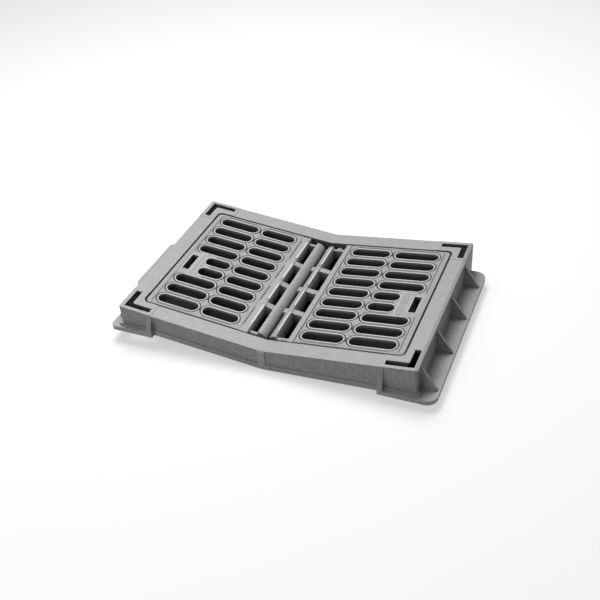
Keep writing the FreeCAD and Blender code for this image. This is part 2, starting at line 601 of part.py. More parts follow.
def makeLeaf(pattern):
    """One leaf, cast in one piece, modelled flat and then sloped in its place."""
    side = pattern.side
    body = doc.addObject("PartDesign::Body", pattern.name.capitalize() + "Leaf")
    body.Label = pattern.name + "_leaf"
    leafEnd = (recessHalfLength - leafGap) * slant
    leafSide = recessHalfWidth - leafGap
    coreEnd = (clearHalfLength - sideClearance) * slant - leafDepth * slope
    start = pattern.bandStart * side
    edgeEnd = leafEnd * side
    block(body, "Pad", "LeafEdge", "XY_Plane", (-leafRim, 0), [
        (start, -leafSide), (edgeEnd, -leafSide), (edgeEnd, leafSide), (start, leafSide)])
    roundUpright(body, "LeafCorners", leafRadius, [(edgeEnd, leafSide), (edgeEnd, -leafSide)])
    block(body, "Pad", "LeafCore", "XY_Plane", (-leafDepth, 0), [
        (start, -coreSide), (coreEnd * side, -coreSide), (coreEnd * side, coreSide),
        (start, coreSide)])

    # The nose bar: a round barrel on the left leaf, a flat top and a round flank on the right
    fullWidth = (-coreSide, coreSide)
    if side < 0:
        addNose(body, "Barrel", pattern, hingeDepth, sized(0), None, fullWidth)
    else:
        addNose(body, "NoseBar", pattern, noseRadius, noseFlankTop, noseShoulder, fullWidth)

    # Cross ribs between the nose bar and the plate, falling towards the wide flange
    inside = 1
    ribStart = (pattern.noseEdge - inside) * side
    ribEnd = (pattern.bandStart + inside) * side
    firstRib = -crossRibPitch * ((crossRibCount - 1) / 2)
    ribSpan = (firstRib - crossRibWidth / 2, firstRib + crossRibWidth / 2)
    rib = alongY(body, "Pad", "CrossRib", ribSpan, [
        (ribStart, -leafDepth), (ribEnd, -leafDepth),
        (ribEnd, -pattern.ribBandTop), (ribStart, -pattern.ribNoseTop)])
    repeatAlongY(body, rib, crossRibPitch, crossRibCount)
    if side > 0:
        # Stubs reach over the middle gap, up to the barrel of the other leaf
        near, far = hingePlace(rightPattern), hingePlace(leftPattern)
        apart = [one - other for one, other in zip(near, far)]
        reach = root(apart[0] * apart[0] + apart[1] * apart[1])
        stub = addNose(body, "Stub", pattern, reach - hingeDepth - stubClearance, stubTop,
                       None, ribSpan)
        repeatAlongY(body, stub, crossRibPitch, crossRibCount)

    # End webs and trunnions
    web = alongY(body, "Pad", "EndWeb", (coreSide - endWebThickness, coreSide), [
        (ribStart, -leafDepth), (ribEnd, -leafDepth), (ribEnd, -endWebTop),
        (ribStart, -endWebTop)])
    pin = newSketch(body, "Trunnion", "XZ_Plane",
                    -(coreSide + recessHalfWidth - trunnionGap) / 2)
    addCircle(pin, (pattern.hingeOffset * side, -hingeDepth), trunnionRadius)
    trunnion = extrude(body, "Pad", pin, recessHalfWidth - trunnionGap - coreSide)
    mirrored(body, [web, trunnion], "XZ_Plane")

    # Slots, row by row from the road side
    firstRow = -slotPitch * ((rowCount - 1) / 2)
    innerEnd = pattern.innerStart + pattern.innerLength
    outerEnd = pattern.outerStart + pattern.outerLength
    shortEnd = pattern.outerStart + pattern.shortLength
    shortRows = rowCount - frontRows - kerbRows
    groups = (("InnerSlot", pattern.innerStart, innerEnd, 0, rowCount),
              ("FrontSlot", pattern.outerStart, outerEnd, 0, frontRows),
              ("ShortSlot", pattern.outerStart, shortEnd, frontRows, shortRows),
              ("KerbSlot", pattern.outerStart, outerEnd, rowCount - kerbRows, kerbRows))
    cutDepth = leafDepth * 4
    for name, near, far, row, count in groups:
        sketch = newSketch(body, name, "XY_Plane", 0)
        ends = (near, far) if side > 0 else (-far, -near)
        addStadium(sketch, *ends, firstRow + slotPitch * row, slotWidth)
        slot = extrude(body, "Pocket", sketch, cutDepth)
        repeatAlongY(body, slot, slotPitch, count)

    # The ends of the short slots are square, beside the lifting hole
    square = newSketch(body, "SquareEnds", "XY_Plane", 0)
    for row in range(frontRows, frontRows + shortRows):
        middle = firstRow + slotPitch * row
        addRectangle(square, (shortEnd - slotWidth / 2) * side, shortEnd * side,
                     middle - slotWidth / 2, middle + slotWidth / 2)
    liftY = firstRow + slotPitch * (frontRows + (shortRows - 1) / 2)
    addRectangle(square, liftHoleStart * side, (liftHoleStart + liftHoleWidth) * side,
                 liftY - liftHoleLength / 2, liftY + liftHoleLength / 2)
    extrude(body, "Pocket", square, cutDepth)

    # Short grooves along the plate's inner edge, one to each opening
    ribs = [firstRib + crossRibPitch * number for number in range(crossRibCount)]
    starts = [-coreSide + grooveEnd] + [rib + grooveAfterRib for rib in ribs]
    stops = [rib - grooveBeforeRib for rib in ribs] + [coreSide - grooveEnd]
    grooves = newSketch(body, "Grooves", "XY_Plane", 0)
    for low, high in zip(starts, stops):
        addRectangle(grooves, pattern.grooveStart * side,
                     (pattern.grooveStart + grooveWidth) * side, low, high)
    extrude(body, "Pocket", grooves, grooveDepth * 2)
    cleanFaces(body)

    body.setExpression("Placement.Base.z", leafTop.text)
    body.Placement.Rotation = FreeCAD.Rotation(FreeCAD.Vector(0, -side, 0), 1)
    body.setExpression("Placement.Rotation.Angle", "atan(%s)" % slope.text)
    return body


frame = makeFrame()
leftLeaf = makeLeaf(leftPattern)
rightLeaf = makeLeaf(rightPattern)
doc.recompute()

for item in doc.Objects:
    if "Invalid" in item.State or "Error" in item.State:
        raise RuntimeError("%s failed: %s" % (item.Name, item.State))

os.makedirs("parts", exist_ok=True)
for piece in (frame, leftLeaf, rightLeaf):
    shape = piece.Shape
    if shape.isNull() or not shape.isValid() or len(shape.Solids) != 1:
        raise RuntimeError("%s is not one sound solid" % piece.Label)
    shape.exportStep("parts/%s.step" % piece.Label)
    box = shape.BoundBox
    print("%s: %.0f cm3, x %.1f to %.1f, y %.1f to %.1f, z %.1f to %.1f" % (
        piece.Label, shape.Volume / 1000, box.XMin, box.XMax, box.YMin, box.YMax,
        box.ZMin, box.ZMax))
for pattern in (leftPattern, rightPattern):
    place = hingePlace(pattern)
    print("%s hinge x %.4f z %.4f" % (pattern.name, place[0].value, place[1].value))
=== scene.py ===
import math

import bmesh
import bpy
from mathutils import Matrix, Vector


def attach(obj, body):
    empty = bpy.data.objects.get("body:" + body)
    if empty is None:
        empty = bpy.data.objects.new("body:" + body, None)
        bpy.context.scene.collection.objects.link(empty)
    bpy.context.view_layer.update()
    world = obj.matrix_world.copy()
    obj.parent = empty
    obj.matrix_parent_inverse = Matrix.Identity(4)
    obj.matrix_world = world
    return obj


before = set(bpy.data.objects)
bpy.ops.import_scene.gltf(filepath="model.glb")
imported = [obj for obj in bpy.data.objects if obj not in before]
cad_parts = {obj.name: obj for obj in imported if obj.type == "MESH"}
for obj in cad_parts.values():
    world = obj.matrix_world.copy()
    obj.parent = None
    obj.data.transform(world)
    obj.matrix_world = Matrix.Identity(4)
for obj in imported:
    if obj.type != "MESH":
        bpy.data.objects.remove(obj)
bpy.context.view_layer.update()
print("frame loaded:", sorted(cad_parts))


def linkObject(name, data):
    made = bpy.data.objects.new(name, data)
    bpy.context.scene.collection.objects.link(made)
    return made


def plainMesh(name, points, faces):
    mesh = bpy.data.meshes.new(name)
    mesh.from_pydata(points, [], faces)
    return mesh


# Nodes: a socket that works in Python sums, and one method that makes any node

class Socket:
    def __init__(self, tree, out):
        self.tree = tree
        self.out = out

    def maths(self, operation, other=0.0):
        return self.tree.node("ShaderNodeMath", {"operation": operation}, {0: self, 1: other})

    def __add__(self, other):
        return self.maths("ADD", other)

    def __sub__(self, other):
        return self.maths("SUBTRACT", other)

    def __rsub__(self, other):
        return self.tree.node("ShaderNodeMath", {"operation": "SUBTRACT"}, {0: other, 1: self})

    def __mul__(self, other):
        return self.maths("MULTIPLY", other)

    def __truediv__(self, other):
        return self.maths("DIVIDE", other)

    def __gt__(self, other):
        return self.maths("GREATER_THAN", other)

    def __lt__(self, other):
        return self.maths("LESS_THAN", other)

    def absolute(self):
        return self.maths("ABSOLUTE")

    def fraction(self):
        return self - self.maths("FLOOR")

    def larger(self, other):
        return self.maths("MAXIMUM", other)

    def root(self):
        return self.maths("SQRT")

    def within(self, limits):
        return (self > limits[0]) * (self < limits[1])


class Nodes:
    def __init__(self, tree):
        self.tree = tree

    def node(self, kind, settings=None, inputs=None, output=0):
        made = self.tree.nodes.new(kind)
        for key, value in (settings or {}).items():
            setattr(made, key, value)
        for key, value in (inputs or {}).items():
            self.feed(made.inputs[key], value)
        return Socket(self, made.outputs[output])

    def feed(self, socket, value):
        if isinstance(value, Socket):
            self.tree.links.new(value.out, socket)
        else:
            socket.default_value = value

    def vector(self, x=0.0, y=0.0, z=0.0):
        return self.node("ShaderNodeCombineXYZ", None, {"X": x, "Y": y, "Z": z})

    def axes(self, vector):
        split = self.node("ShaderNodeSeparateXYZ", None, {0: vector}).out.node
        return [Socket(self, out) for out in split.outputs]

    def blend(self, factor, first, second):
        return self.node("ShaderNodeMix", {"data_type": "RGBA"},
                         {0: factor, 6: first, 7: second}, output=2)


class Finish(Nodes):                                  # one material
    def __init__(self, name):
        self.material = bpy.data.materials.new(name)
        self.material.use_nodes = True
        super().__init__(self.material.node_tree)
        self.surface = self.tree.nodes["Principled BSDF"]

    def normal(self):
        return self.node("ShaderNodeNewGeometry", output="Normal")

    def noise(self, where, scale, detail, roughness):
        return self.node("ShaderNodeTexNoise", None, {
            "Vector": where, "Scale": scale, "Detail": detail, "Roughness": roughness})

    def spread(self, value, limits):
        return self.node("ShaderNodeMapRange", {"clamp": True}, {
            "Value": value, "From Min": limits[0], "From Max": limits[1]})

    def set(self, **inputs):
        for key, value in inputs.items():
            self.feed(self.surface.inputs[key.replace("_", " ")], value)


# Cast iron, sand-cast and bare, with painted shade where the iron lies deep or sunken, and painted
# light on some faces and edges

ironLook = {
    "light": (0.54, 0.54, 0.54, 1),
    "dark": (0.37, 0.37, 0.37, 1),
    # edges painted lighter, partly wear and partly painted highlight
    "wornAndLitEdge": (0.72, 0.72, 0.72, 1),
    "lighterTone": (0.72, 0.72, 0.72, 1),
    "paintedShadeColour": (0.030, 0.030, 0.029, 1),
    "grain": (330.0, 3.0, 0.6),          # each noise: scale, detail, roughness
    "pits": (148.5, 2.0, 0.5),
    "mottle": (45.0, 3.0, 0.6),
    "wallGrain": (210.0, 2.0, 0.7),      # the walls keep the mould's coarser grain
    "grainRange": (0.34, 0.66),
    "pitRange": (0.2, 0.8),
    "mottleRange": (0.30, 0.70),
    "wallRange": (0.36, 0.64),
    "grainShare": 0.75,
    "mottleShare": 0.25,
    "wallShare": 1.3,
    "roughness": 0.47,
    "pitRoughness": 0.16,
    "metallic": 0.15,
    "bump": 0.7,
    "bumpHeight": 0.0007,
    "grainHeight": 0.6,
    "pitHeight": 0.8,
    "edgeRadius": 0.0014,      # how far a cast edge is rounded
    "edgeSamples": 4,
    "edgeRange": (0.01, 0.20),
    "edgeWearAndHighlight": 0.8,
    "cavityDistance": 0.025,
    "cavitySamples": 8,
    "cavityRange": (0.03, 0.42),         # openness from full painted shade to none
    "paintedShadeShare": 0.80,        # how much painted shade lies on sunken or deep iron
}


def castIron(name, look, paintedShadeMask=None, bright=None):
    iron = Finish(name)
    where = iron.node("ShaderNodeTexCoord", output="Object")
    grain = iron.noise(where, *look["grain"])
    pits = iron.noise(where, *look["pits"])
    speckle = iron.spread(grain, look["grainRange"])
    cloud = iron.spread(iron.noise(where, *look["mottle"]), look["mottleRange"])
    coarse = iron.spread(iron.noise(where, *look["wallGrain"]), look["wallRange"]) - 0.5
    wall = 1 - iron.axes(iron.normal())[2].absolute()
    mixed = speckle * look["grainShare"] + cloud * look["mottleShare"]
    tone = iron.blend(mixed + coarse * wall * look["wallShare"], look["dark"], look["light"])
    # lighter places from the bright mask: painted light on the leaf walls and the frame's joint, a
    # lighter strip and foot
    if bright:
        tone = iron.blend(bright(iron, where), tone, look["lighterTone"])
    edge = iron.node("ShaderNodeBevel", {"samples": look["edgeSamples"]},
                     {"Radius": look["edgeRadius"]})
    straight = iron.node("ShaderNodeVectorMath", {"operation": "DOT_PRODUCT"},
                         {0: edge, 1: iron.normal()}, output="Value")
    # edges painted lighter: partly wear, partly painted highlight on the rounded edges
    wornAndLitEdge = iron.spread(1 - straight, look["edgeRange"])
    tone = iron.blend(wornAndLitEdge * look["edgeWearAndHighlight"], tone, look["wornAndLitEdge"])
    # painted shade from the mask given for the part
    if paintedShadeMask:
        tone = iron.blend(paintedShadeMask(iron, where) * look["paintedShadeShare"], tone, look["paintedShadeColour"])
    # painted shade in hollows, from ambient occlusion
    cavity = iron.node("ShaderNodeAmbientOcclusion", {"samples": look["cavitySamples"]},
                       {"Distance": look["cavityDistance"]}, output="AO")
    unshaded = iron.spread(cavity, look["cavityRange"])
    pitted = iron.spread(pits, look["pitRange"]) * look["pitRoughness"]
    iron.set(Base_Color=iron.blend(unshaded, look["paintedShadeColour"], tone), Metallic=look["metallic"],
             Roughness=pitted + look["roughness"])
    iron.set(Normal=iron.node("ShaderNodeBump", None, {
        "Strength": look["bump"], "Distance": look["bumpHeight"],
        "Height": grain * look["grainHeight"] + pits * look["pitHeight"], "Normal": edge}))
    return iron.material


# The leaves in their own plane: u runs outwards from the middle line, h up from the leaf's top

leafPlane = {
    "slope": 0.115,
    "middleTop": 0.057,
    "end": 0.3528,
    "side": 0.2205,
    "cornerCut": 0.011,
    "firstRow": -0.1892,       # middle of the row of slots next to the road
    "pitch": 0.0473,
    "ribPitch": 0.097,
    "ribHalf": 0.0085,
}
leafTurn = math.atan(leafPlane["slope"])


def leafMatrix(side):
    cosine, sine = math.cos(leafTurn), math.sin(leafTurn)
    return Matrix(((side * cosine, 0, -side * sine, 0),
                   (0, 1, 0, 0),
                   (sine, 0, cosine, leafPlane["middleTop"]),
                   (0, 0, 0, 1)))


def fromRow(along, firstRow, pitch):                  # from the middle of the nearest row of slots
    return (((along - firstRow) / pitch + 0.5).fraction() - 0.5) * pitch


def depthBelow(middleTop, x, z):                      # below a top that rises from the middle line
    return x.absolute() * leafPlane["slope"] + middleTop - z


leafPaintedShadeAndLight = {
    "leftGround": 0.0834,      # where the painted shade on the sunken ground of a leaf begins
    "rightGround": 0.0700,
    "groundEnd": 0.3420,
    "groundHalf": 0.2165,
    "barTone": 0.72,           # painted shade on the bars, between two lips
    "endTone": 1.25,           # painted shade in the grooves round the slots' ends
    "kerbSide": 0.35,          # less of it on the kerb side of an end
    "lipsReach": 0.0196,       # from the middle of a row over its lips
    "levelUp": 0.97,           # least rise of a normal on the top
    "line": (0.0655, 0.0690),  # painted shade for a groove along the right leaf's band
    "plainBegin": 0.268,       # the plain place round the lifting hole
    "plainMiddle": -0.0236,
    "plainHalf": 0.0500,
    "leftNotch": (0.0602, 0.0668),       # painted shade in a sunken corner at the road side of each opening
    "rightNotch": (0.0086, 0.0146),
    "notch": 0.010,
    "notchUp": 0.9,
    "notchTone": 0.45,
    "barrelTop": 0.0340,
    "nickShade": (0.0788, 0.0805),  # painted shade of a nick across the barrel, at this place along a bay
    "nickShadeTone": 0.30,
    "bars": 0.0720,            # where the slotted bars begin
    "slotDeep": 0.009,         # depth at which the slots' walls are fully in painted shade
    "slotClear": 0.05,         # share of it left without painted shade
    "gapDeep": 0.040,          # and the same for the walls of the middle openings
    "gapClear": 0.12,
    "outerY": 0.209,           # painted shade on the leaf's own outer walls
    "outerU": 0.3413,
    "outerUp": 0.7,
    "outerDeep": (0.0003, 0.0012),
    "wallFacing": 0.7,         # painted light on the upper walls of the middle openings
    "wallFade": (0.004, 0.032),
    "barrelReach": 0.045,      # nothing of it on the barrel
}


# Painted shade on a leaf: its ground between the relief, the slots' ends, a groove line, notches, a
# nick across the barrel, the walls of slots and openings by depth, and the outer walls
def leafPaintedShade(iron, where):
    look = leafPaintedShadeAndLight
    x, y, z = iron.axes(where)
    up = iron.axes(iron.normal())[2]
    across = y.absolute()
    u = x.absolute() * (1 / math.cos(leafTurn))
    right = x > 0.0
    left = 1 - right
    begin = right * (look["rightGround"] - look["leftGround"]) + look["leftGround"]
    ground = (u > begin) * (u < look["groundEnd"]) * (across < look["groundHalf"])
    plain = (u > look["plainBegin"]) * ((y - look["plainMiddle"]).absolute() < look["plainHalf"])
    away = fromRow(y, leafPlane["firstRow"], leafPlane["pitch"])
    ends = (away.absolute() < look["lipsReach"]) * (1 - (away > 0.0) * look["kerbSide"])
    tone = ends * (look["endTone"] - look["barTone"]) + look["barTone"]
    line = u.within(look["line"]) * right
    ground = (ground * (1 - plain) * tone).larger(line) * (up > look["levelUp"])
    bay = ((y - leafPlane["ribHalf"]) / leafPlane["ribPitch"]).fraction() * leafPlane["ribPitch"]
    corner = right * u.within(look["rightNotch"]) + left * u.within(look["leftNotch"])
    notch = corner * (bay < look["notch"]) * (up > look["notchUp"]) * look["notchTone"]
    nickShade = left * (u < look["barrelTop"]) * bay.within(look["nickShade"]) * look["nickShadeTone"]
    depth = depthBelow(leafPlane["middleTop"], x, z)
    slotted = u > look["bars"]
    full = slotted * (look["slotDeep"] - look["gapDeep"]) + look["gapDeep"]
    unshaded = slotted * (look["slotClear"] - look["gapClear"]) + look["gapClear"]
    deep = iron.spread(depth / full - unshaded, (0.0, 1.0))
    outer = (across > look["outerY"]).larger(u > look["outerU"]) * (up < look["outerUp"])
    outer = outer * slotted * iron.spread(depth, look["outerDeep"])
    return deep.larger(outer).larger(ground.larger(notch + nickShade))


# Painted light on the walls of the middle openings that face +X, fading with depth, none on the
# barrel
def leafPaintedLight(iron, where):
    look = leafPaintedShadeAndLight
    x, z = iron.axes(where)[::2]
    facing = iron.axes(iron.normal())[0] > look["wallFacing"]
    fade = 1 - iron.spread(depthBelow(leafPlane["middleTop"], x, z), look["wallFade"])
    barrel = (x < 0.0) * (x.absolute() < look["barrelReach"])
    return facing * (x.absolute() < look["bars"]) * (1 - barrel) * fade


framePaintedShadeAndLight = {
    "rimMiddle": 0.058,        # height of the rim at the middle line
    "rimDeep": (0.00045, 0.0030),
    "insideX": 0.3915,         # painted shade on what lies within the frame's walls
    "insideY": 0.2615,
    "recessX": 0.3540,         # and on the brink of the leaves' recess
    "recessY": 0.2240,
    "recessRadius": 0.014,
    "brink": (-0.0006, 0.0018),
    "wallX": (0.3915, 0.4015),           # painted shade on the right wall, darkest right below its rim
    "wallDeep": (0.060, 0.006),
    "wallTone": 0.35,
    "roadFace": -0.2716,       # strip and foot stand out from the road side's wall, painted lighter
    "stripHalf": 0.0101,
    "stripTone": 0.42,
    "footTop": 0.0495,
    "footTone": 0.12,
    "joint": (0.3990, 0.4035),           # painted highlight on the rounded joint of the right wall and its flange
    "jointTop": 0.0300,
    "jointTone": 0.85,
}


# Lighter strip and foot on the road side, and a painted highlight along the right wall's joint with
# its flange
def frameBright(iron, where):
    look = framePaintedShadeAndLight
    x, y, z = iron.axes(where)
    strip = (x.absolute() < look["stripHalf"]) * (y < look["roadFace"])
    foot = (y < look["roadFace"]) * (z < look["footTop"])
    joint = x.within(look["joint"]) * (z < look["jointTop"])
    bright = (strip * look["stripTone"]).larger(foot * look["footTone"])
    return bright.larger(joint * look["jointTone"])


# Painted shade on the frame: below its rim inside the walls, round the brink of the leaves' recess,
# and on the right wall under its rim
def framePaintedShade(iron, where):
    look = framePaintedShadeAndLight
    x, y, z = iron.axes(where)
    wide, across = x.absolute(), y.absolute()
    depth = depthBelow(look["rimMiddle"], x, z)
    deep = iron.spread(depth, look["rimDeep"])
    deep = deep * (wide < look["insideX"]) * (across < look["insideY"])
    radius = look["recessRadius"]
    past = [(side - (look[key] - radius)).larger(0.0)
            for side, key in ((wide, "recessX"), (across, "recessY"))]
    brink = ((past[0] * past[0] + past[1] * past[1]).root() - radius).within(look["brink"])
    wall = x.within(look["wallX"]) * iron.spread(depth, look["wallDeep"]) * look["wallTone"]
    return deep.larger(brink).larger(wall)


stripLook = dict(ironLook, light=(0.50, 0.50, 0.50, 1), dark=(0.34, 0.34, 0.34, 1),
                 edgeRadius=0.0005)
lipLook = dict(ironLook, light=(0.82, 0.82, 0.82, 1), dark=(0.64, 0.64, 0.64, 1),
               edgeRadius=0.0005)
# the leaf's painted light is nearly white
leafLook = dict(ironLook, cavityRange=(0.03, 0.24), lighterTone=(0.95, 0.95, 0.95, 1))
frameLook = dict(ironLook, cavityRange=(0.03, 0.34))
frameIron = castIron("frameIron", frameLook, framePaintedShade, frameBright)
leafIron = castIron("leafIron", leafLook, leafPaintedShade, leafPaintedLight)
stripIron = castIron("stripIron", stripLook)
lipIron = castIron("lipIron", lipLook)
for node, material in (("frame", frameIron), ("left_leaf", leafIron), ("right_leaf", leafIron)):
    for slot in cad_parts[node].material_slots:
        slot.material = material
print("cast iron applied")


# Geometry Nodes: one group for each form that repeats

class Pattern(Nodes):
    def __init__(self, name, sizes):
        super().__init__(bpy.data.node_groups.new(name, "GeometryNodeTree"))
        self.sizes = {}
        for key, value in sizes.items():
            kind = "NodeSocketInt" if isinstance(value, int) else "NodeSocketFloat"
            socket = self.tree.interface.new_socket(key, in_out="INPUT", socket_type=kind)
            socket.default_value = value
            self.sizes[key] = socket.identifier
        self.tree.interface.new_socket("Geometry", in_out="OUTPUT",
                                       socket_type="NodeSocketGeometry")
        self.entry = self.tree.nodes.new("NodeGroupInput")

    def size(self, key):
        return Socket(self, self.entry.outputs[key])

    def line(self, count, offset):
        return self.node("GeometryNodeMeshLine", {"mode": "OFFSET", "count_mode": "TOTAL"},
                         {"Count": count, "Offset": offset})

    def repeat(self, points, form):
        return self.node("GeometryNodeInstanceOnPoints", None,
                         {"Points": points, "Instance": form})

    def shift(self, form, offset):
        return self.node("GeometryNodeTransform", None,
                         {"Geometry": form, "Translation": offset})

    def close(self, form, material, apart=0.00002):
        real = self.node("GeometryNodeRealizeInstances", None, {0: form})
        merged = self.node("GeometryNodeMergeByDistance", None,
                           {"Geometry": real, "Distance": apart})
        painted = self.node("GeometryNodeSetMaterial", None,
                            {"Geometry": merged, "Material": material})
        self.feed(self.tree.nodes.new("NodeGroupOutput").inputs[0], painted)


def grow(pattern, name, **sizes):                     # one plain mesh from a group and its sizes
    seed = linkObject(name, bpy.data.meshes.new(name))
    modifier = seed.modifiers.new(name, "NODES")
    modifier.node_group = pattern.tree
    for key, value in sizes.items():
        modifier[pattern.sizes[key]] = value
    evaluated = seed.evaluated_get(bpy.context.evaluated_depsgraph_get())
    mesh = bpy.data.meshes.new_from_object(evaluated)
    bpy.data.objects.remove(seed)
    return mesh


def ringProfile(pattern, width, height):              # half of it is sunk in the iron
    block = pattern.node("GeometryNodeCurvePrimitiveQuadrilateral", {"mode": "RECTANGLE"},
                         {"Width": width, "Height": height * 2})
    return pattern.node("GeometryNodeFilletCurve", {"mode": "POLY"},
                        {"Curve": block, "Radius": height * 0.5, "Count": 1})


lipSizes = {
    "start": 0.1,              # the slots of one column, along u
    "length": 0.1,
    "width": 0.032,
    "firstRow": 0.0,
    "pitch": 0.05,
    "rows": 9,
    "lipWidth": 0.0035,
    "lipHeight": 0.001,
    "setBack": 0.0003,         # from a slot's edge
    "endSteps": 9,             # facets in a quarter of a round end
    "endShare": 0.499,         # its radius, as a share of the lips' outer width
}


def makeLipPattern(sizes):                            # raised lips round a column of slots
    lips = Pattern("slotLips", sizes)
    grown = lips.size("lipWidth") + lips.size("setBack") * 2
    high = lips.size("width") + grown
    outline = lips.node("GeometryNodeCurvePrimitiveQuadrilateral", {"mode": "RECTANGLE"},
                        {"Width": lips.size("length") + grown, "Height": high})
    stadium = lips.node("GeometryNodeFilletCurve", {"mode": "POLY"},
                        {"Curve": outline, "Radius": high * lips.size("endShare"),
                         "Count": lips.size("endSteps")})
    profile = ringProfile(lips, lips.size("lipWidth"), lips.size("lipHeight"))
    ring = lips.node("GeometryNodeCurveToMesh", None,
                     {"Curve": stadium, "Profile Curve": profile})
    column = lips.repeat(lips.line(lips.size("rows"), lips.vector(y=lips.size("pitch"))), ring)
    middle = lips.size("start") + lips.size("length") * 0.5
    lips.close(lips.shift(column, lips.vector(middle, lips.size("firstRow"))), lipIron)
    return lips


scallopSizes = {
    "left": 0.1,               # the strip's edges, along u
    "right": 0.2,
    "leftRound": 0.0,          # 1.0 where an edge runs round the slots' ends
    "rightRound": 1.0,
    "low": -0.2,               # and its ends, along Y
    "high": 0.2,
    "firstRow": 0.0,
    "pitch": 0.05,
    "radius": 0.0215,
    "steps": 200,
    "gap": 0.0,                # left bare on both sides of each row's middle
    "height": 0.0008,
    "sunk": 0.0001,
}


def makeScallopPattern(sizes):                        # a strip, scalloped round the slots' ends
    strip = Pattern("scallopStrip", sizes)
    rows = strip.size("firstRow"), strip.size("pitch")
    left, right = strip.size("left"), strip.size("right")
    low, high = strip.size("low"), strip.size("high")
    grid = strip.node("GeometryNodeMeshGrid", None, {
        "Size X": 1.0, "Size Y": high - low, "Vertices X": 2, "Vertices Y": strip.size("steps")})
    x, y = strip.axes(strip.node("GeometryNodeInputPosition"))[:2]
    along = y + (low + high) * 0.5
    away = fromRow(along, *rows)
    bow = (strip.size("radius") * strip.size("radius") - away * away).larger(0.0).root()
    leftEdge = left + bow * strip.size("leftRound")
    rightEdge = right - bow * strip.size("rightRound")
    share = x + 0.5
    placed = strip.node("GeometryNodeSetPosition", None, {
        "Geometry": grid,
        "Position": strip.vector(leftEdge + (rightEdge - leftEdge) * share, along)})
    y = strip.axes(strip.node("GeometryNodeInputPosition"))[1]          # as placed
    parted = strip.node("GeometryNodeDeleteGeometry", {"domain": "FACE"}, {
        0: placed, 1: fromRow(y, *rows).absolute() < strip.size("gap")})
    raised = strip.node("GeometryNodeExtrudeMesh", {"mode": "FACES"}, {
        "Mesh": parted, "Offset": strip.vector(z=strip.size("height")), "Offset Scale": 1.0,
        "Individual": False})
    under = strip.node("GeometryNodeFlipFaces", None, {0: parted})
    both = strip.node("GeometryNodeJoinGeometry")
    for part in (under, raised):
        strip.feed(both.out.node.inputs[0], part)
    strip.close(strip.shift(both, strip.vector(z=0 - strip.size("sunk"))), stripIron)
    return strip


lipPattern, scallopPattern = makeLipPattern(lipSizes), makeScallopPattern(scallopSizes)
print("patterns ready")


# The raised work on the leaves

reliefLook = {
    "slotWidth": 0.0320,
    "rows": 9,
    "frontRows": 3,
    "shortRows": 2,
    "kerbRows": 4,
    "setBack": 0.0003,         # lips stand this far back from an edge
    "sunk": 0.0002,            # and this deep in the iron
    "grooveAway": 0.0074,      # from a slot's edge to the scalloped strips
    "neckGap": 0.0070,
    "plainGap": 0.0015,        # strips to the plain place
    "stepLength": 0.0018,      # of the strips' facets
    "openingEnd": 0.1975,      # of the outer openings, along Y
    "notch": 0.011,            # gap in the bead at the road side of each opening
    "beadEnd": 0.001,
    "beadHeight": 0.0011,
    "plateCut": 0.12,          # cut corners, as a share of the width
    "fieldSide": 0.2150,       # half width of the strips
    "fieldEnd": 0.3375,
    "borderHeight": 0.0008,
    "borderEnd": 0.0128,       # width of the smooth border at the outer end
    "borderSide": 0.0046,      # and along the sides
    "borderGap": 0.0004,
    "plateHeight": 0.0008,
    "plateLip": 0.0020,
    "plateLipHeight": 0.0011,
}
leftSlots = {"inner": (0.1005, 0.1998), "outer": (0.2152, 0.3290), "shortEnd": 0.2867,
             "field": 0.0836, "bead": (0.0608, 0.0662)}
rightSlots = {"inner": (0.0798, 0.1890), "outer": (0.2057, 0.3261), "shortEnd": 0.2759,
              "field": 0.0702, "bead": (0.0092, 0.0142)}
liftHole = {"u": (0.3140, 0.3330), "y": (-0.05665, 0.00935), "lip": 0.0022}
labelPlates = {"left": {"u": (0.2915, 0.3075), "y": (-0.0700, 0.0235)},
               "right": {"u": (0.2800, 0.3075), "y": (-0.0700, 0.0235)}}


def plate(low, high, height):                         # a thin block on the leaf, corners cut
    cut = min(high[0] - low[0], high[1] - low[1]) * reliefLook["plateCut"]
    corners = ((low[0] + cut, low[1]), (high[0] - cut, low[1]), (high[0], low[1] + cut),
               (high[0], high[1] - cut), (high[0] - cut, high[1]), (low[0] + cut, high[1]),
               (low[0], high[1] - cut), (low[0], low[1] + cut))
    return prism(corners, height)


def slab(low, high, height):                          # the same with whole corners
    return prism((low, (high[0], low[1]), high, (low[0], high[1])), height)


def boxLips(us, ys, width, height):                   # four thin bars inside a box
    u0, u1, y0, y1 = us[0], us[1], ys[0], ys[1]
    bars = ((u0, y0, u0 + width, y1), (u1 - width, y0, u1, y1),
            (u0 + width, y0, u1 - width, y0 + width), (u0 + width, y1 - width, u1 - width, y1))
    return [slab((a, b), (c, d), height) for a, b, c, d in bars]


def prism(corners, top):
    count = len(corners)
    points = [(u, y, height) for height in (-reliefLook["sunk"], top) for u, y in corners]
    faces = [tuple(range(count - 1, -1, -1)), tuple(range(count, 2 * count))]
    faces += [(i, (i + 1) % count, count + (i + 1) % count, count + i) for i in range(count)]
    return plainMesh("prism", points, faces)


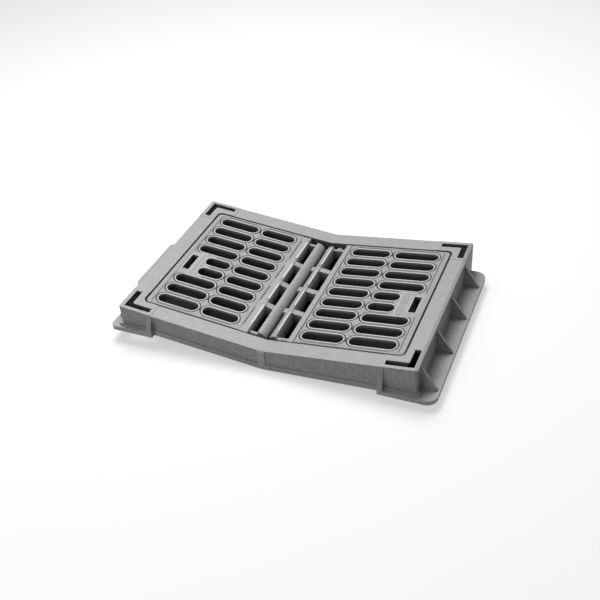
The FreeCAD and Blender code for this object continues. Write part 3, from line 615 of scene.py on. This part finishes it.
def leafRelief(name, slots):                          # the bright lips, and the strips between them
    look = reliefLook
    pitch, first = leafPlane["pitch"], leafPlane["firstRow"]
    shortFirst = first + look["frontRows"] * pitch
    kerbFirst = shortFirst + look["shortRows"] * pitch
    columns = (
        (slots["inner"], first, look["rows"]),
        (slots["outer"], first, look["frontRows"]),
        (slots["outer"], kerbFirst, look["kerbRows"]),
        ((slots["outer"][0], slots["shortEnd"]), shortFirst, look["shortRows"]),
    )
    lips, raised = [], []
    for number, ((start, end), row, rows) in enumerate(columns):
        lips.append(grow(lipPattern, "%sLips%d" % (name, number), start=start,
                         length=end - start, width=look["slotWidth"], firstRow=row,
                         pitch=pitch, rows=rows, setBack=look["setBack"]))
    half = look["slotWidth"] / 2
    whole = (-look["fieldSide"], look["fieldSide"])
    front = (-look["fieldSide"], shortFirst - pitch / 2 - look["plainGap"])
    kerb = (kerbFirst - pitch / 2 + look["plainGap"], look["fieldSide"])
    strips = (
        (slots["field"], slots["inner"][0] + half, 0.0, 1.0, whole, 0.0),
        (slots["inner"][1] - half, slots["outer"][0] + half, 1.0, 1.0, whole, look["neckGap"]),
        (slots["outer"][1] - half, look["fieldEnd"], 1.0, 0.0, front, 0.0),
        (slots["outer"][1] - half, look["fieldEnd"], 1.0, 0.0, kerb, 0.0),
    )
    for number, (left, right, leftRound, rightRound, (low, high), gap) in enumerate(strips):
        raised.append(grow(scallopPattern, "%sStrip%d" % (name, number), left=left, right=right,
                           leftRound=leftRound, rightRound=rightRound, low=low, high=high,
                           firstRow=first, pitch=pitch, radius=half + look["grooveAway"],
                           gap=gap, steps=int((high - low) / look["stepLength"]),
                           height=look["plateHeight"]))
    raised += borders(slots["field"], look)
    ribs = [number * leafPlane["ribPitch"] for number in (-1, 0, 1)]
    starts = [-look["openingEnd"]] + [rib + leafPlane["ribHalf"] for rib in ribs]
    ends = [rib - leafPlane["ribHalf"] for rib in ribs] + [look["openingEnd"]]
    for begin, finish in zip(starts, ends):
        lips.append(plate((slots["bead"][0], begin + look["notch"]),
                          (slots["bead"][1], finish - look["beadEnd"]), look["beadHeight"]))
    label = labelPlates[name]
    raised.append(plate((label["u"][0], label["y"][0]), (label["u"][1], label["y"][1]),
                        look["plateHeight"]))
    lips += boxLips(label["u"], label["y"], look["plateLip"], look["plateLipHeight"])
    away = look["setBack"] + liftHole["lip"]
    us, ys = ((low - away, high + away) for low, high in (liftHole["u"], liftHole["y"]))
    lips += boxLips(us, ys, liftHole["lip"], look["plateHeight"])
    return lips, raised


def borders(low, look):                               # smooth border of a leaf, on three sides
    end, side = leafPlane["end"] - look["borderGap"], leafPlane["side"] - look["borderGap"]
    inner, cut = end - look["borderEnd"], leafPlane["cornerCut"]
    made = [prism(((inner, -side), (end - cut, -side), (end, -side + cut),
                   (end, side - cut), (end - cut, side), (inner, side)), look["borderHeight"])]
    for turn in (-1, 1):
        ys = sorted((turn * side, turn * (side - look["borderSide"])))
        made.append(slab((low, ys[0]), (inner, ys[1]), look["borderHeight"]))
    return made


def joinMeshes(name, meshes, material, matrix, flip):
    whole = bmesh.new()
    for mesh in meshes:
        whole.from_mesh(mesh)
        bpy.data.meshes.remove(mesh)
    bmesh.ops.transform(whole, matrix=matrix, verts=whole.verts)
    if flip:
        bmesh.ops.reverse_faces(whole, faces=whole.faces)
    for face in whole.faces:
        face.material_index = 0                       # the groups' meshes come with another one
    made = bpy.data.meshes.new(name)
    whole.to_mesh(made)
    whole.free()
    made.materials.append(material)
    return linkObject(name, made)


for name, slots, side in (("left", leftSlots, -1), ("right", rightSlots, 1)):
    lips, raised = leafRelief(name, slots)
    for form, meshes, material in (("Lips", lips, lipIron), ("Strips", raised, stripIron)):
        relief = joinMeshes(name + "Leaf" + form, meshes, material, leafMatrix(side), side < 0)
        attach(relief, name + "_leaf")
        print(relief.name, "made,", len(relief.data.polygons), "faces")


# Floor, with a near-black pit below the grate that stands in for the shade seen through the
# openings

floorLook = {
    "halfSize": 9.0,
    "shaftMouth": ((-0.385, -0.228), (0.0, -0.258), (0.385, -0.245), (0.385, 0.256),
                   (-0.385, 0.256)),   # narrower where the walls stand clear of the floor
    "shaftDepth": 0.6,
    "level": -0.0004,
    "seen": (0.60, 0.60, 0.60, 1),
    "glow": (0.52, 0.52, 0.52, 1),       # for the camera only, the object gets none of it
    "bounced": (0.06, 0.06, 0.06, 1),
    "shadePitGrey": (0.012, 0.012, 0.012, 1),
    "roughness": 0.9,
    "shaftRoughness": 1.0,
}


def floorMaterial(look):
    floor = Finish("paleFloor")
    rays = [floor.node("ShaderNodeLightPath", output=kind) for kind in
            ("Is Camera Ray", "Is Glossy Ray", "Is Transmission Ray")]
    direct = rays[0].larger(rays[1]).larger(rays[2])
    floor.set(Base_Color=floor.blend(direct, look["bounced"], look["seen"]),
              Emission_Color=floor.blend(direct, (0, 0, 0, 1), look["glow"]),
              Emission_Strength=1.0, Roughness=look["roughness"], Specular_IOR_Level=0.0)
    return floor.material


def shadePitMaterial(look):
    shadePit = Finish("darkShaft")
    # near-black, in place of the shade seen through the grate's openings
    shadePit.set(Base_Color=look["shadePitGrey"], Roughness=look["shaftRoughness"],
              Specular_IOR_Level=0.0)
    return shadePit.material


def makeFloor(look):
    far, z, mouth = look["halfSize"], look["level"], look["shaftMouth"]
    rim = ((-far, -far), (0.0, -far), (far, -far), (far, far), (-far, far))
    count = len(mouth)
    points = [(u, v, z) for u, v in rim + mouth]
    faces = [(i, (i + 1) % count, count + (i + 1) % count, count + i) for i in range(count)]
    floor = linkObject("floor", plainMesh("floor", points, faces))
    floor.data.materials.append(floorMaterial(look))
    low = z - look["shaftDepth"]
    points = [(u, v, level) for level in (z, low) for u, v in mouth]
    faces = [(count + i, count + (i + 1) % count, (i + 1) % count, i) for i in range(count)]
    faces.append(tuple(range(count, 2 * count)))
    shadePit = linkObject("shadePit", plainMesh("shadePit", points, faces))
    shadePit.data.materials.append(shadePitMaterial(look))


makeFloor(floorLook)
print("floor made")


# Light: one large soft lamp overhead, a weak one from the road side, and a dim room

lightLook = {
    "worldGrey": 0.15,
    "keyPlace": (-0.7, 0.9, 3.0),
    "keySize": 1.8,
    "keyPower": 83.0,
    "fillPlace": (-1.4, -3.0, 1.6),
    "fillSize": 2.0,
    "fillPower": 16.0,
}


def areaLamp(name, place, size, power):
    lamp = bpy.data.lights.new(name, "AREA")
    lamp.size = size
    lamp.energy = power
    holder = linkObject(name, lamp)
    holder.location = place
    holder.rotation_euler = (-Vector(place)).to_track_quat("-Z", "Y").to_euler()


def makeWorld(grey):
    world = bpy.data.worlds.new("room")
    bpy.context.scene.world = world
    world.use_nodes = True
    room = Nodes(world.node_tree)
    seen = room.node("ShaderNodeLightPath", output="Is Camera Ray")
    colour = room.blend(seen, (grey, grey, grey, 1), (1, 1, 1, 1))
    room.feed(world.node_tree.nodes["Background"].inputs["Color"], colour)


makeWorld(lightLook["worldGrey"])
areaLamp("keyLamp", lightLook["keyPlace"], lightLook["keySize"], lightLook["keyPower"])
areaLamp("fillLamp", lightLook["fillPlace"], lightLook["fillSize"], lightLook["fillPower"])
print("lights set")


# Camera, as the photograph was taken: the view turns round the point it is aimed at

cameraLook = {
    "azimuth": 25.37,          # degrees from the road side towards the wide flange
    "elevation": 37.67,
    "roll": -4.88,
    "distance": 2.3473,
    "aimRight": -0.00863,      # the aim point, from the origin, in the picture's own directions
    "aimUp": 0.01338,
    "focalPixels": 859.0,
    "imagePixels": 600,
}


def makeCamera(look):
    azimuth, elevation, roll = (math.radians(look[key]) for key in
                                ("azimuth", "elevation", "roll"))
    back = Vector((math.sin(azimuth) * math.cos(elevation),
                   -math.cos(azimuth) * math.cos(elevation), math.sin(elevation)))
    level = Vector((math.cos(azimuth), math.sin(azimuth), 0))
    rise = back.cross(level)
    right = math.cos(roll) * level + math.sin(roll) * rise
    up = -math.sin(roll) * level + math.cos(roll) * rise
    camera = bpy.data.cameras.new("camera")
    camera.lens = look["focalPixels"] / look["imagePixels"] * camera.sensor_width
    place = look["aimRight"] * right + look["aimUp"] * up + look["distance"] * back
    turn = Matrix((right, up, back)).transposed()
    holder = linkObject("camera", camera)
    holder.matrix_world = Matrix.Translation(place) @ turn.to_4x4()
    bpy.context.scene.camera = holder


makeCamera(cameraLook)
bpy.context.scene.view_settings.view_transform = "Standard"
print("camera set")
